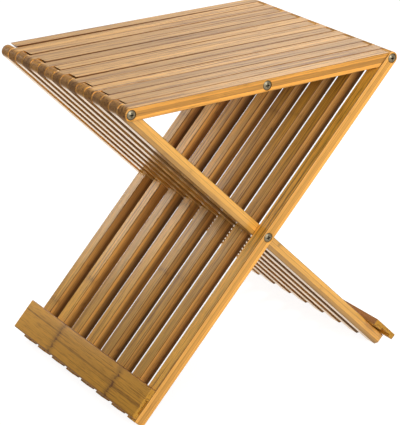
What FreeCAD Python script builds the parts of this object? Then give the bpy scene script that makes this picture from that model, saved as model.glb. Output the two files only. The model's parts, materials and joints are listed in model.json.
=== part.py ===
"""Folding slatted shower stool, drawn as a parametric FreeCAD document.

Sixteen lanes of bamboo slats lie side by side across the stool.  The even lanes hold the left seat
slats and the left legs, the odd lanes hold the right seat slats and the right legs, so the two halves
comb through each other.  Left and right say where a seat slat is hinged and where a leg's foot stands.
Four steel rods run across all the lanes: one along each side of the seat, one under the middle of the
seat and one where the legs cross.

Frame: X runs along the seat, Y across the slats (the front is at -Y), Z is up.  The origin is on the
floor, under the middle of the seat.  The stool is the same after half a turn about Z, so a right seat
slat is a left one turned, and a left leg is a right one turned.
"""
import FreeCAD
import Part
import Sketcher
import math
import os

DIMENSIONS = [
    ("seat_axis_span", 390.0, "between the two rods at the sides of the seat"),
    ("crossing_drop", 204.0, "from the seat rods down to the rod where the legs cross"),
    ("leg_length", 572.0, "from a leg's top rod to its foot end"),
    ("lane_count", 16, "slats side by side across the stool"),
    ("lane_pitch", 20.4, "from one slat to the next"),
    ("slat_width", 19.9, "every slat, along Y"),
    ("slat_thickness", 17.0, "every slat, and the diameter of its round end"),
    ("edge_round", 1.6, "radius round both sides of a slat"),
    ("bearing_gap", 0.8, "between a seat slat's slanted end and the leg that stops it"),
    ("foot_flat_height", 3.0, "taken off a foot's lowest corner so that it stands on a flat"),
    ("board_width", 45.0, "foot board, along the leg"),
    ("board_thickness", 8.5, "foot board"),
    ("board_inset", 3.0, "from a leg's foot end back to the foot board"),
    ("board_round", 1.4, "radius round the outer face of a foot board"),
    ("channel_start", 17.0, "from the board's upper edge to the channel in its inner face"),
    ("channel_width", 20.0, "channel in a foot board's inner face"),
    ("channel_depth", 3.4, "channel in a foot board's inner face"),
    ("rod_diameter", 9.0, "pivot rods"),
    ("rod_play", 0.06, "radial clearance of a rod in a slat"),
    ("rod_shoulder", 0.2, "how far a rod's end stands above the counterbore's floor"),
    ("counterbore_diameter", 13.2, "round an end screw's head"),
    ("counterbore_depth", 2.0, "round an end screw's head"),
    ("head_diameter", 12.0, "end screw"),
    ("head_height", 3.1, "end screw, to the top of its dome"),
    ("head_rim", 1.2, "end screw, height of the head's straight side"),
    ("shank_diameter", 5.8, "end screw"),
    ("shank_length", 14.0, "end screw"),
    ("recess_length", 6.4, "cross recess of an end screw, tip to tip"),
    ("recess_width", 1.5, "cross recess of an end screw, one arm"),
    ("recess_depth", 1.7, "cross recess of an end screw"),
    ("board_screw_diameter", 3.6, "foot board screw"),
    ("board_screw_length", 18.0, "foot board screw, under its head"),
    ("board_screw_head", 7.0, "foot board screw, diameter of its head"),
    ("board_screw_sink", 3.0, "foot board screw, height of its sunk head"),
    ("board_screw_inset", 8.5, "from the board's upper edge to its screws"),
    ("screw_play", 0.05, "radial clearance of a screw in its hole"),
    ("screw_tip_room", 0.6, "between a screw's tip and the bottom of its hole"),
]

# A seat slat whose middle hole was drilled a little low rides that much higher over the middle rod.
# One value for each slat of a set, front to back.
LIFTS = {
    "left": [0.0, 0.1, 0.0, 0.1, 0.0, 0.1, 0.0, 0.0],
    "right": [0.0, 0.1, 0.2, 0.6, 0.2, 0.5, 0.4, 0.9],
}
for set_name, values in LIFTS.items():
    for number, value in enumerate(values, start=1):
        DIMENSIONS.append((f"{set_name}_lift_{number}", value, "how low the middle hole was drilled"))

doc = FreeCAD.newDocument("shower_stool")
dims = doc.addObject("Spreadsheet::Sheet", "dims")
for row, (alias, value, note) in enumerate(DIMENSIONS, start=1):
    dims.set(f"A{row}", alias)
    dims.set(f"B{row}", str(value))
    dims.set(f"C{row}", note)
    dims.setAlias(f"B{row}", alias)
doc.recompute()

SIZE = {alias: float(dims.get(alias)) for alias, value, note in DIMENSIONS}
LANES = int(SIZE["lane_count"])
SAME_PLACE = 0.01  # mm, two edges or faces this close lie in one plane
SMALLEST_CUT = 100  # cubic mm, the least that a pocket has to take away
ROUGH_LENGTH = 20  # half thicknesses, how long a slat is first sketched, before its dimensions set it
LEG_ANGLE = math.atan2(SIZE["crossing_drop"], SIZE["seat_axis_span"] / 2)

# Quantities worked out from the sheet, written for the expression engine.
RADIUS = "dims.slat_thickness / 2"
HALF_SPAN = "dims.seat_axis_span / 2"
ANGLE = f"atan2(dims.crossing_drop; {HALF_SPAN})"
TO_CROSSING = f"sqrt(dims.crossing_drop ^ 2 + ({HALF_SPAN}) ^ 2)"
AXIS_HEIGHT = f"(dims.leg_length * sin({ANGLE}) + {RADIUS} * cos({ANGLE}) - dims.foot_flat_height)"
OUTER_FACE = "((dims.lane_pitch * (dims.lane_count - 1) + dims.slat_width) / 2)"
ROD_END = f"({OUTER_FACE} - dims.counterbore_depth + dims.rod_shoulder)"
BORE = "(dims.rod_diameter + 2 * dims.rod_play)"
THREAD_HOLE = "(dims.shank_diameter + 2 * dims.screw_play)"
BOARD_TOP = "(dims.leg_length - dims.board_inset - dims.board_width)"
BOARD_SCREW_X = f"({BOARD_TOP} + dims.board_screw_inset)"

UPRIGHT = FreeCAD.Rotation()
HALF_TURN = FreeCAD.Rotation(FreeCAD.Vector(0, 0, 1), 180)
LEAN = FreeCAD.Rotation(FreeCAD.Vector(0, 1, 0), math.degrees(LEG_ANGLE))
Z_TO_FRONT = FreeCAD.Rotation(FreeCAD.Vector(1, 0, 0), 90)
Z_TO_BACK = FreeCAD.Rotation(FreeCAD.Vector(1, 0, 0), -90)

nodes = {}


def lane_y(lane):
    """The middle of a lane along Y, for the expression engine."""
    return f"dims.lane_pitch * ({lane} + 0.5 - dims.lane_count / 2)"


def place(piece, rotation=UPRIGHT, x="0", y="0", z="0"):
    """Turn a piece, and bind where it lies to the sheet."""
    piece.Placement = FreeCAD.Placement(FreeCAD.Vector(), rotation)
    piece.setExpression("Placement.Base.x", x)
    piece.setExpression("Placement.Base.y", y)
    piece.setExpression("Placement.Base.z", z)


def add_node(piece, name):
    """Name a finished piece and list it for export."""
    piece.Label = name
    nodes[name] = piece


# ---- sketches ---------------------------------------------------------------------------------------


def new_sketch(body, name, role, offset="0"):
    """A sketch on one of the body's own origin planes, moved along the plane's normal."""
    plane = next(item for item in body.Origin.OriginFeatures if item.Role == role)
    sketch = body.newObject("Sketcher::SketchObject", name)
    sketch.AttachmentSupport = [(plane, "")]
    sketch.MapMode = "FlatFace"
    sketch.setExpression("AttachmentOffset.Base.z", offset)
    return sketch


def dimension(sketch, name, text, kind, *elements):
    """Add a dimension and bind it to the sheet."""
    index = sketch.addConstraint(Sketcher.Constraint(kind, *elements, 1.0))
    sketch.renameConstraint(index, name)
    sketch.setExpression(f"Constraints.{name}", text)


def add_circle(sketch, name, x, y, diameter):
    """A circle whose centre and diameter are bound to the sheet."""
    centre = FreeCAD.Vector(1, 1, 0)
    circle = sketch.addGeometry(Part.Circle(centre, FreeCAD.Vector(0, 0, 1), 1), False)
    dimension(sketch, f"{name}_diameter", diameter, "Diameter", circle)
    dimension(sketch, f"{name}_x", x, "DistanceX", -1, 1, circle, 3)
    dimension(sketch, f"{name}_y", y, "DistanceY", -1, 1, circle, 3)


def add_outline(sketch, corners):
    """A closed polygon whose corners, (x, y) in words, are bound to the sheet."""
    rough = [FreeCAD.Vector(math.cos(step), math.sin(step), 0) for step in range(len(corners))]
    lines = []
    for start, end in zip(rough, rough[1:] + rough[:1]):
        lines.append(sketch.addGeometry(Part.LineSegment(start, end), False))
    for line, following in zip(lines, lines[1:] + lines[:1]):
        sketch.addConstraint(Sketcher.Constraint("Coincident", line, 2, following, 1))
    for line, (x, y) in zip(lines, corners):
        dimension(sketch, f"corner_{line}_x", x, "DistanceX", -1, 1, line, 1)
        dimension(sketch, f"corner_{line}_y", y, "DistanceY", -1, 1, line, 1)


def add_slat_outline(sketch, end_corners):
    """A slat seen from its side: half a circle about the origin, and straight edges to its far end.

    end_corners are the corners of the far end, (x, y) in words, from the lower edge to the upper one.
    """
    size = SIZE["slat_thickness"] / 2
    arc = sketch.addGeometry(Part.ArcOfCircle(
        Part.Circle(FreeCAD.Vector(), FreeCAD.Vector(0, 0, 1), size), math.pi / 2, 3 * math.pi / 2), False)
    rough = [FreeCAD.Vector(0, -size, 0)]
    for step in range(len(end_corners)):
        rough.append(FreeCAD.Vector(size * ROUGH_LENGTH, size * (2 * step / (len(end_corners) - 1) - 1), 0))
    rough.append(FreeCAD.Vector(0, size, 0))
    lines = [sketch.addGeometry(Part.LineSegment(start, end), False) for start, end in zip(rough, rough[1:])]
    for line, following in zip(lines, lines[1:]):
        sketch.addConstraint(Sketcher.Constraint("Coincident", line, 2, following, 1))
    sketch.addConstraint(Sketcher.Constraint("Coincident", arc, 3, -1, 1))
    sketch.addConstraint(Sketcher.Constraint("Tangent", arc, 2, lines[0], 1))
    sketch.addConstraint(Sketcher.Constraint("Tangent", lines[-1], 2, arc, 1))
    sketch.addConstraint(Sketcher.Constraint("Horizontal", lines[0]))
    sketch.addConstraint(Sketcher.Constraint("Horizontal", lines[-1]))
    dimension(sketch, "end_radius", RADIUS, "Radius", arc)
    for line, (x, y) in zip(lines[1:], end_corners):
        dimension(sketch, f"corner_{line}_x", x, "DistanceX", -1, 1, line, 1)
        if line not in (lines[1], lines[-1]):
            dimension(sketch, f"corner_{line}_y", y, "DistanceY", -1, 1, line, 1)


# ---- slats ------------------------------------------------------------------------------------------


def round_sides(body, solid):
    """Round the rim of both sides of a slat, leaving the bores sharp."""
    half_width = SIZE["slat_width"] / 2
    bore_radius = SIZE["rod_diameter"] / 2 + SIZE["rod_play"]
    rims = []
    for number, edge in enumerate(solid.Shape.Edges, start=1):
        flat = edge.BoundBox.YLength < SAME_PLACE
        on_side = abs(abs(edge.BoundBox.Center.y) - half_width) < SAME_PLACE
        bore = isinstance(edge.Curve, Part.Circle) and edge.Curve.Radius < bore_radius + SAME_PLACE
        if flat and on_side and not bore:
            rims.append(f"Edge{number}")
    fillet = body.newObject("PartDesign::Fillet", "round_sides")
    fillet.Base = (solid, rims)
    fillet.setExpression("Radius", "dims.edge_round")
    return fillet


def sink_counterbores(body, centres, outward):
    """Counterbores for the end screws, in the slat's side that faces +Y (outward 1) or -Y (outward -1)."""
    before = body.Shape.Volume
    sketch = new_sketch(body, "counterbore_circles", "XZ_Plane", f"{-outward} * dims.slat_width / 2")
    for number, (x, y) in enumerate(centres):
        add_circle(sketch, f"circle_{number}", x, y, "dims.counterbore_diameter")
    pocket = body.newObject("PartDesign::Pocket", "counterbores")
    pocket.Profile = sketch
    pocket.Reversed = outward > 0
    pocket.setExpression("Length", "dims.counterbore_depth")
    doc.recompute()
    if body.Shape.Volume > before - SMALLEST_CUT:
        raise RuntimeError(f"the counterbores of {body.Label} cut nothing")


def make_slat(name, end_corners, bores, counterbores):
    """One slat in its own frame: hinge bore at the origin, length along X, width centred on Y."""
    body = doc.addObject("PartDesign::Body", name)
    sketch = new_sketch(body, "side_view", "XZ_Plane")
    add_slat_outline(sketch, end_corners)
    for number, (x, y) in enumerate(bores):
        add_circle(sketch, f"bore_{number}", x, y, BORE)
    pad = body.newObject("PartDesign::Pad", "slat")
    pad.Profile = sketch
    pad.SideType = "Symmetric"
    pad.setExpression("Length", "dims.slat_width")
    doc.recompute()
    round_sides(body, pad)
    doc.recompute()
    if counterbores:
        sink_counterbores(body, bores, counterbores)
    add_node(body, name)
    return body


def make_seat_slat(side, number, lane):
    """A seat slat: hinged at its round end, bored in the middle, its far end slanted like the leg."""
    lift = f"atan2(dims.{side}_lift_{number}; {HALF_SPAN})"
    slant = "dims.seat_axis_span - ({radius} + dims.bearing_gap {sign} {radius} * cos({angle})) / sin({angle})"
    low_end = slant.format(radius=RADIUS, angle=ANGLE, sign="+")
    high_end = slant.format(radius=RADIUS, angle=ANGLE, sign="-")
    end_corners = [(low_end, f"-{RADIUS}"), (high_end, RADIUS)]
    bores = [("0", "0"), (f"{HALF_SPAN} * cos({lift})", f"-{HALF_SPAN} * sin({lift})")]
    outer = lane in (0, LANES - 1)
    slat = make_slat(f"{side}_seat_slat_{number}", end_corners, bores, -1 if outer else 0)
    rise = math.degrees(math.atan2(SIZE[f"{side}_lift_{number}"], SIZE["seat_axis_span"] / 2))
    tilt = FreeCAD.Rotation(FreeCAD.Vector(0, 1, 0), -rise)
    if side == "left":
        place(slat, tilt, f"-{HALF_SPAN}", lane_y(lane), AXIS_HEIGHT)
    else:
        place(slat, HALF_TURN * tilt, HALF_SPAN, lane_y(lane), AXIS_HEIGHT)


def make_leg_slat(side, number, lane):
    """A leg slat: hinged at its round top, bored at the crossing, its foot cut flat for the floor."""
    end_corners = [
        (f"dims.leg_length - dims.foot_flat_height / sin({ANGLE})", f"-{RADIUS}"),
        ("dims.leg_length", f"-{RADIUS} + dims.foot_flat_height / cos({ANGLE})"),
        ("dims.leg_length", RADIUS),
    ]
    bores = [("0", "0"), (TO_CROSSING, "0")]
    outer = lane in (0, LANES - 1)
    slat = make_slat(f"{side}_leg_slat_{number}", end_corners, bores, 1 if outer else 0)
    drill_board_screw_hole(slat)
    if side == "left":
        place(slat, HALF_TURN * LEAN, HALF_SPAN, lane_y(lane), AXIS_HEIGHT)
    else:
        place(slat, LEAN, f"-{HALF_SPAN}", lane_y(lane), AXIS_HEIGHT)


def drill_board_screw_hole(slat):
    """The hole for the foot board's screw, and the sunk seat for its head, from the slat's inner face."""
    before = slat.Shape.Volume
    steps = [("shank_hole", "dims.board_screw_diameter", "dims.slat_thickness"),
             ("head_hole", "dims.board_screw_head", "dims.board_screw_sink")]
    for name, diameter, depth in steps:
        sketch = new_sketch(slat, f"{name}_circle", "XY_Plane", f"-{RADIUS}")
        add_circle(sketch, name, BOARD_SCREW_X, "0", f"{diameter} + 2 * dims.screw_play")
        pocket = slat.newObject("PartDesign::Pocket", name)
        pocket.Profile = sketch
        pocket.Reversed = True
        pocket.setExpression("Length", depth)
        doc.recompute()
    if slat.Shape.Volume > before - SMALLEST_CUT:
        raise RuntimeError(f"the screw hole of {slat.Label} cut nothing")


# ---- foot boards ------------------------------------------------------------------------------------


def make_foot_board(side):
    """A board across the eight legs of one side, near their feet, drawn in the leg's own frame."""
    body = doc.addObject("PartDesign::Body", f"{side}_foot_board")
    sketch = new_sketch(body, "section", "XZ_Plane")
    outside = f"{RADIUS} + dims.board_thickness"
    channel_floor = f"{RADIUS} + dims.channel_depth"
    channel_top = f"{BOARD_TOP} + dims.channel_start"
    channel_low = f"{channel_top} + dims.channel_width"
    board_low = f"{BOARD_TOP} + dims.board_width"
    add_outline(sketch, [
        (BOARD_TOP, RADIUS), (channel_top, RADIUS), (channel_top, channel_floor),
        (channel_low, channel_floor), (channel_low, RADIUS), (board_low, RADIUS),
        (board_low, outside), (BOARD_TOP, outside),
    ])
    pad = body.newObject("PartDesign::Pad", "board")
    pad.Profile = sketch
    pad.SideType = "Symmetric"
    pad.setExpression("Length", f"2 * {OUTER_FACE}")
    doc.recompute()
    outside_height = SIZE["slat_thickness"] / 2 + SIZE["board_thickness"]
    rims = [f"Edge{number}" for number, edge in enumerate(pad.Shape.Edges, start=1)
            if abs(edge.BoundBox.ZMin - outside_height) < SAME_PLACE]
    fillet = body.newObject("PartDesign::Fillet", "round_outer_face")
    fillet.Base = (pad, rims)
    fillet.setExpression("Radius", "dims.board_round")
    doc.recompute()
    before = body.Shape.Volume
    hole_sketch = new_sketch(body, "pilot_circles", "XY_Plane", RADIUS)
    for number, lane in enumerate(range(1, LANES, 2)):
        add_circle(hole_sketch, f"pilot_{number}", BOARD_SCREW_X, lane_y(lane),
                   "dims.board_screw_diameter + 2 * dims.screw_play")
    pocket = body.newObject("PartDesign::Pocket", "pilot_holes")
    pocket.Profile = hole_sketch
    pocket.Reversed = True
    pocket.setExpression("Length", "dims.board_screw_length + dims.board_screw_sink"
                                   " - dims.slat_thickness + dims.screw_tip_room")
    doc.recompute()
    if body.Shape.Volume > before - SMALLEST_CUT:
        raise RuntimeError("the pilot holes cut nothing")
    add_node(body, f"{side}_foot_board")
    place_with_legs(body, side)


def place_with_legs(piece, side):
    """Put something drawn in a right leg's frame where that side's legs are."""
    if side == "left":
        place(piece, HALF_TURN * LEAN, HALF_SPAN, "0", AXIS_HEIGHT)
    else:
        place(piece, LEAN, f"-{HALF_SPAN}", "0", AXIS_HEIGHT)


def make_cylinder(name, diameter, length):
    """A Part cylinder standing on its own XY plane, sizes bound to the sheet."""
    cylinder = doc.addObject("Part::Cylinder", name)
    cylinder.setExpression("Radius", f"({diameter}) / 2")
    cylinder.setExpression("Height", length)
    return cylinder


def make_board_screws(side):
    """One screw through each leg slat into the foot board, as one group of separate solids."""
    screws = []
    for lane in range(1, LANES, 2):
        head = make_cylinder("screw_head", "dims.board_screw_head", "dims.board_screw_sink")
        shank = make_cylinder("screw_shank", "dims.board_screw_diameter",
                              "dims.board_screw_length + dims.board_screw_sink")
        screw = doc.addObject("Part::Fuse", "board_screw")
        screw.Base = head
        screw.Tool = shank
        place(screw, UPRIGHT, BOARD_SCREW_X, lane_y(lane), f"-{RADIUS}")
        screws.append(screw)
    group = doc.addObject("Part::Compound", f"{side}_foot_board_screws")
    group.Links = screws
    add_node(group, f"{side}_foot_board_screws")
    place_with_legs(group, side)


# ---- rods and end screws ----------------------------------------------------------------------------


def cut_away(name, base, tool):
    """base less tool."""
    cut = doc.addObject("Part::Cut", name)
    cut.Base = base
    cut.Tool = tool
    return cut


def make_thread_hole(rotation, end):
    """The tapped hole in a rod's end, as a solid to cut away; end is -1 in front and 1 behind."""
    depth = "(dims.shank_length + dims.screw_tip_room)"
    hole = make_cylinder("thread_hole", THREAD_HOLE, depth)
    place(hole, rotation, "0", f"{end} * ({ROD_END} - {depth})")
    return hole


def make_rod(name, x, z):
    """A pivot rod along Y through all the lanes, tapped at both ends."""
    bar = make_cylinder("bar", "dims.rod_diameter", f"2 * {ROD_END}")
    place(bar, Z_TO_BACK, "0", f"-{ROD_END}")
    holes = doc.addObject("Part::Compound", "thread_holes")
    holes.Links = [make_thread_hole(Z_TO_FRONT, -1), make_thread_hole(Z_TO_BACK, 1)]
    rod = cut_away(name, bar, holes)
    add_node(rod, name)
    place(rod, UPRIGHT, x, "0", z)


def make_rod_lengths(name, lanes):
    """The middle seat rod's lengths inside one set of seat slats, one length to a lane.

    The rod is cut at every lane, because its left and right seat slats part a little while they fold.
    """
    lengths = []
    for lane in lanes:
        low = f"{lane_y(lane)} - dims.slat_width / 2"
        high = f"{lane_y(lane)} + dims.slat_width / 2"
        if lane == 0:
            low = f"-{ROD_END}"
        if lane == LANES - 1:
            high = ROD_END
        piece = make_cylinder("rod_length", "dims.rod_diameter", f"({high}) - ({low})")
        place(piece, Z_TO_BACK, "0", low)
        if lane == 0:
            piece = cut_away("front_length", piece, make_thread_hole(Z_TO_FRONT, -1))
        if lane == LANES - 1:
            piece = cut_away("back_length", piece, make_thread_hole(Z_TO_BACK, 1))
        lengths.append(piece)
    group = doc.addObject("Part::Compound", name)
    group.Links = lengths
    add_node(group, name)
    place(group, UPRIGHT, "0", "0", AXIS_HEIGHT)


def make_end_screw(name, x, z, rotation, end):
    """A pan head screw with a cross recess, its head outwards; end is -1 in front and 1 behind."""
    side = make_cylinder("head_side", "dims.head_diameter", "dims.head_height")
    dome = doc.addObject("Part::Sphere", "head_dome")
    rise = "(dims.head_height - dims.head_rim)"
    dome.setExpression("Radius", f"(dims.head_diameter ^ 2 / 4 + {rise} ^ 2) / (2 * {rise})")
    place(dome, UPRIGHT, "0", "0",
          f"dims.head_height - (dims.head_diameter ^ 2 / 4 + {rise} ^ 2) / (2 * {rise})")
    head = doc.addObject("Part::Common", "head")
    head.Base = side
    head.Tool = dome
    shank = make_cylinder("shank", "dims.shank_diameter", "dims.shank_length + dims.head_rim")
    place(shank, UPRIGHT, "0", "0", "-dims.shank_length")
    blank = doc.addObject("Part::Fuse", "blank")
    blank.Base = head
    blank.Tool = shank
    arms = []
    for length, width in (("recess_length", "recess_width"), ("recess_width", "recess_length")):
        arm = doc.addObject("Part::Box", "recess_arm")
        arm.setExpression("Length", f"dims.{length}")
        arm.setExpression("Width", f"dims.{width}")
        arm.setExpression("Height", "dims.recess_depth")
        place(arm, UPRIGHT, f"-dims.{length} / 2", f"-dims.{width} / 2",
              "dims.head_height - dims.recess_depth")
        arms.append(arm)
    recess = doc.addObject("Part::Fuse", "recess")
    recess.Base = arms[0]
    recess.Tool = arms[1]
    screw = cut_away(name, blank, recess)
    add_node(screw, name)
    place(screw, rotation, x, f"{end} * {ROD_END}", z)


# ---- the stool --------------------------------------------------------------------------------------

for number in range(1, LANES // 2 + 1):
    even_lane = 2 * (number - 1)
    odd_lane = even_lane + 1
    make_seat_slat("left", number, even_lane)
    make_seat_slat("right", number, odd_lane)
    make_leg_slat("left", number, even_lane)
    make_leg_slat("right", number, odd_lane)

for side in ("left", "right"):
    make_foot_board(side)
    make_board_screws(side)

ROD_PLACES = {
    "left_seat_rod": (f"-{HALF_SPAN}", AXIS_HEIGHT),
    "right_seat_rod": (HALF_SPAN, AXIS_HEIGHT),
    "crossing_rod": ("0", f"{AXIS_HEIGHT} - dims.crossing_drop"),
    "middle_seat_rod": ("0", AXIS_HEIGHT),
}
for rod_name, (x, z) in ROD_PLACES.items():
    if rod_name == "middle_seat_rod":
        make_rod_lengths(f"{rod_name}_left_part", range(0, LANES, 2))
        make_rod_lengths(f"{rod_name}_right_part", range(1, LANES, 2))
    else:
        make_rod(rod_name, x, z)
    make_end_screw(f"{rod_name}_front_screw", x, z, Z_TO_FRONT, -1)
    make_end_screw(f"{rod_name}_back_screw", x, z, Z_TO_BACK, 1)

doc.recompute()

for item in doc.Objects:
    if "Invalid" in item.State or "Error" in item.State:
        raise RuntimeError(f"{item.Label} failed: {item.State}")
for name, piece in nodes.items():
    if piece.Shape.isNull() or not piece.Shape.isValid() or not piece.Shape.Solids:
        raise RuntimeError(f"{name} has no valid shape")

os.makedirs("parts", exist_ok=True)
for name, piece in nodes.items():
    piece.Shape.exportStep(f"parts/{name}.step")
print(f"{len(nodes)} nodes written")
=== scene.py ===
# %% [markdown]
# # A folding shower stool of bamboo slats
#
# The stool is made of thirty-two narrow slats. Half of them fold one way and half the other, so at every
# pivot the slats of two sides lie between each other like the fingers of two hands. Four steel rods run
# through them, each held by a pan head screw at both ends, and a foot board joins the lower ends of each
# set of legs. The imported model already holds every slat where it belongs. This lesson gives each piece its
# finish, remakes the pieces whose surface a plain solid can't show, and sets up the light and the camera.

import json
import math

import bmesh
import bpy
import numpy as np
from mathutils import Matrix, Vector


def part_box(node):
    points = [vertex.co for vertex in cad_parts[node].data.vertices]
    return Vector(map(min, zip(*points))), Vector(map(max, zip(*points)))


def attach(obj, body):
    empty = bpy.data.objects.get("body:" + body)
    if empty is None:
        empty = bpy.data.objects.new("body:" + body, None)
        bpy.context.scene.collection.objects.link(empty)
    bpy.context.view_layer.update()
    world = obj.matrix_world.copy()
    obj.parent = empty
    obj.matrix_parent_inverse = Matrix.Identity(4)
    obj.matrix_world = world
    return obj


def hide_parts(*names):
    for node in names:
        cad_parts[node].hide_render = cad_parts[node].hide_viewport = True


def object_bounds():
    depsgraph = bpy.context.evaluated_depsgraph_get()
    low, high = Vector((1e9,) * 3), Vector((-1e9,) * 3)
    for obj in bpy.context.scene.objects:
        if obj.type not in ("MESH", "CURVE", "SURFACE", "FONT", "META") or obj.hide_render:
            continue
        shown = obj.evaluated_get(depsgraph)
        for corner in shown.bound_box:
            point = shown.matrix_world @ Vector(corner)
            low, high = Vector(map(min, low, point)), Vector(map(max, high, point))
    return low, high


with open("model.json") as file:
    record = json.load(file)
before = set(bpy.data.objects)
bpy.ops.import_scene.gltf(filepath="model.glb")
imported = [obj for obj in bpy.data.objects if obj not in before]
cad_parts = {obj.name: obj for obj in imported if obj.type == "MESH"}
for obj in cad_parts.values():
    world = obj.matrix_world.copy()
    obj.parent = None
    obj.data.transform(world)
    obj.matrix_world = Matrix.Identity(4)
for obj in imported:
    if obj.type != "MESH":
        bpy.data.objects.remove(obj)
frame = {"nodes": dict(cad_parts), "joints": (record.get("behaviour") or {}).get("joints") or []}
cad_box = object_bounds()
stool_low = Vector(cad_box[0])
stool_high = Vector(cad_box[1])
stool_middle = (stool_low + stool_high) / 2
print("size in metres:", [round(side, 4) for side in stool_high - stool_low])

# %% [markdown]
# ## Camera
#
# The stool is seen from the front left and a little above, through a long lens that keeps its edges nearly
# parallel. A camera could be aimed with a Track To constraint, but a matrix built from three directions
# leaves nothing live in the file and lets the camera lean a degree to one side, as a hand-held one does.

# %% Camera
CAMERA_YAW = math.radians(32.0)
CAMERA_PITCH = math.radians(21.92)
CAMERA_LEAN = math.radians(-1.18)
CAMERA_DISTANCE = 2.4247
CAMERA_LENS = 152.07
FILM_WIDTH = 36
CAMERA_AIM = stool_middle + Vector((-0.0033, -0.0046, -0.0176))

look = Vector(
    (
        math.sin(CAMERA_YAW) * math.cos(CAMERA_PITCH),
        math.cos(CAMERA_YAW) * math.cos(CAMERA_PITCH),
        -math.sin(CAMERA_PITCH),
    )
)
level_right = Vector((math.cos(CAMERA_YAW), -math.sin(CAMERA_YAW), 0))
level_up = level_right.cross(look)
right = math.cos(CAMERA_LEAN) * level_right + math.sin(CAMERA_LEAN) * level_up
up = math.cos(CAMERA_LEAN) * level_up - math.sin(CAMERA_LEAN) * level_right

camera_data = bpy.data.cameras.new("camera")
camera_data.lens = CAMERA_LENS
camera_data.sensor_width = FILM_WIDTH
camera = bpy.data.objects.new("camera", camera_data)
camera.matrix_world = Matrix((right, up, -look)).transposed().to_4x4()
camera.location = CAMERA_AIM - CAMERA_DISTANCE * look
bpy.context.scene.collection.objects.link(camera)
bpy.context.scene.camera = camera
print("camera stands at", [round(value, 3) for value in camera.location])

# %% [markdown]
# ## A short way to write nodes
#
# A shader drawn by hand is a row of boxes and wires. Written as code it gets long, so this cell makes small
# helpers: one feeds a socket, one adds a node, one does a sum, two make soft steps, one mixes two colours,
# and two start a group and a material. Everything that follows is written with them.

# %% Node helpers
def srgb(red, green, blue):
    """A colour given as 0-255 screen values, turned into the linear values that a shader works in."""
    values = np.array((red, green, blue)) / 255
    linear = np.where(values <= 0.04045, values / 12.92, ((values + 0.055) / 1.055) ** 2.4)
    return (*linear.tolist(), 1.0)


def feed(tree, value, socket):
    """Give a socket its value: a wire when the value is another node's output, else the value itself."""
    if isinstance(value, bpy.types.NodeSocket):
        tree.links.new(value, socket)
    else:
        socket.default_value = value


def node(tree, kind, settings=None, **sockets):
    """A new node of that kind, its sockets fed by name, with _ for a space."""
    made = tree.nodes.new(kind)
    for key, value in (settings or {}).items():
        setattr(made, key, value)
    for key, value in sockets.items():
        feed(tree, value, made.inputs[key.replace("_", " ")])
    return made


def sum_of(tree, operation, *values, clamp=False):
    """One Math node: the operation on the values, which may be numbers or outputs."""
    made = tree.nodes.new("ShaderNodeMath")
    made.operation = operation
    made.use_clamp = clamp
    for value, socket in zip(values, made.inputs):
        feed(tree, value, socket)
    return made.outputs[0]


def step(tree, value, low, high, start=0.0, end=1.0):
    """A smooth step: start below low, end above high."""
    made = tree.nodes.new("ShaderNodeMapRange")
    made.interpolation_type = "SMOOTHSTEP"
    for key, number in (("From Min", low), ("From Max", high), ("To Min", start), ("To Max", end)):
        made.inputs[key].default_value = number
    tree.links.new(value, made.inputs["Value"])
    return made.outputs["Result"]


def fade(tree, value, low, high, least=0.0):
    """A smooth step downwards: 1 below low, least above high."""
    return step(tree, value, low, high, 1.0, least)


def mixed(tree, amount, first, second, blend="MIX"):
    """A colour mix. A Mix node's first socket is the amount, its seventh and eighth are the colours."""
    made = tree.nodes.new("ShaderNodeMix")
    made.data_type = "RGBA"
    made.blend_type = blend
    for value, index in ((amount, 0), (first, 6), (second, 7)):
        feed(tree, value, made.inputs[index])
    return made.outputs[2]


def new_group(name, inputs, outputs):
    """An empty shader node group with those named sockets; returns it with its two end nodes."""
    tree = bpy.data.node_groups.new(name, "ShaderNodeTree")
    for label, kind, value in inputs:
        socket = tree.interface.new_socket(label, in_out="INPUT", socket_type=kind)
        if value is not None:
            socket.default_value = value
    for label, kind in outputs:
        tree.interface.new_socket(label, in_out="OUTPUT", socket_type=kind)
    return tree, tree.nodes.new("NodeGroupInput"), tree.nodes.new("NodeGroupOutput")


def new_finish(name):
    """A material with nothing in it but a Principled shader; returns it, its tree and the shader."""
    material = bpy.data.materials.new(name)
    material.use_nodes = True
    tree = material.node_tree
    tree.nodes.clear()
    shader = tree.nodes.new("ShaderNodeBsdfPrincipled")
    out = tree.nodes.new("ShaderNodeOutputMaterial")
    tree.links.new(shader.outputs[0], out.inputs["Surface"])
    return material, tree, shader


print("half grey on a screen is", round(srgb(128, 128, 128)[0], 3), "to a shader")

# %% [markdown]
# ## Floor
#
# The stool stands on studio paper: matt white with the slightest mottle. A white plane under the lamps
# would turn grey away from them, and real paper is curved up behind the object and lit from all sides. The
# floor gets a glow of its own instead, which stands for the light that the whole sweep throws back. It is
# white to the eye, warm where the varnish mirrors it, as paper under wood is, and weak as a light.

# %% Floor
FLOOR_SIZE = 12.0
PAPER_SEEN = 0.9
PAPER_MIRRORED = 1.2
PAPER_LIT = 0.1
PAPER_GREYS = ((0.3, 0.3, 0.3, 1), (0.32, 0.32, 0.32, 1))
WARM_GLOW = (1.0, 0.87, 0.73, 1)
WHITE = (1, 1, 1, 1)

bpy.ops.mesh.primitive_plane_add(size=FLOOR_SIZE, location=(0, 0, 0))
floor = bpy.context.object
floor.name = "floor"

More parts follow.
